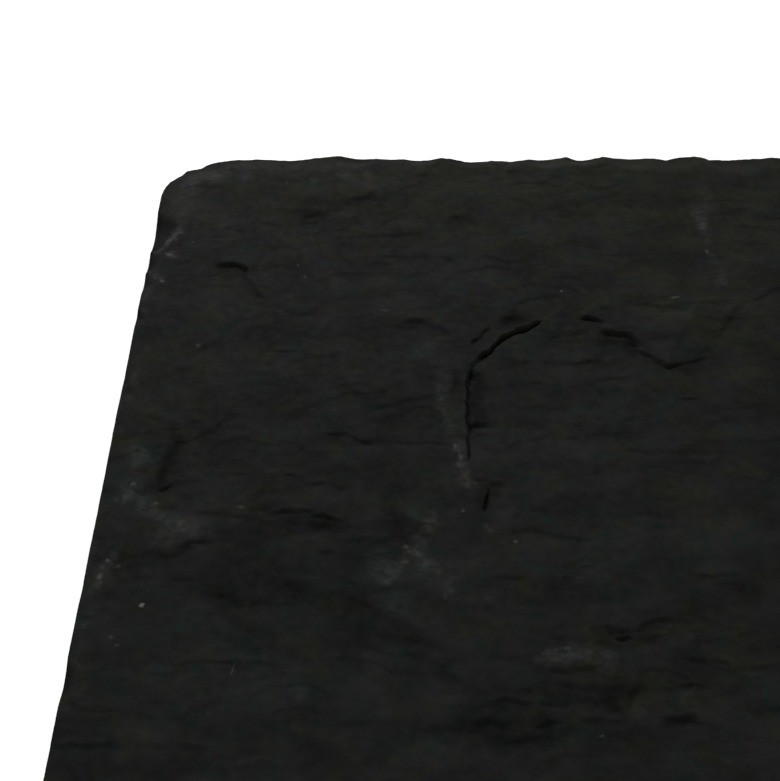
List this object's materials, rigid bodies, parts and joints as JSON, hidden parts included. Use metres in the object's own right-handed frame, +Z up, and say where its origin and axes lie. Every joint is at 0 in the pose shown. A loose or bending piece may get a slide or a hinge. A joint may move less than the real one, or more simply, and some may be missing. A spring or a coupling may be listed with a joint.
{
  "type": "slate slab",
  "caption": "Rectangular slab of riven slate, with sawn ends, hand-dressed chipped sides and a flat sawn underside, for paving, a hearth or a serving base.",
  "frame": {"origin": "centre of the footprint, on the plane of the sawn underside that the slab rests on", "axes": "+X along the length, from the straight sawn end in the picture towards the other sawn end; +Y towards the dressed side at the back; +Z up, out of the riven face"},
  "size_m": [0.6, 0.3998, 0.0222],
  "materials": {
    "slate": "matte riven black slate with faint green and olive tints and a few pale mineral marks"
  },
  "bodies": {
    "root": {"slab": "slate"}
  },
  "joints": []
}
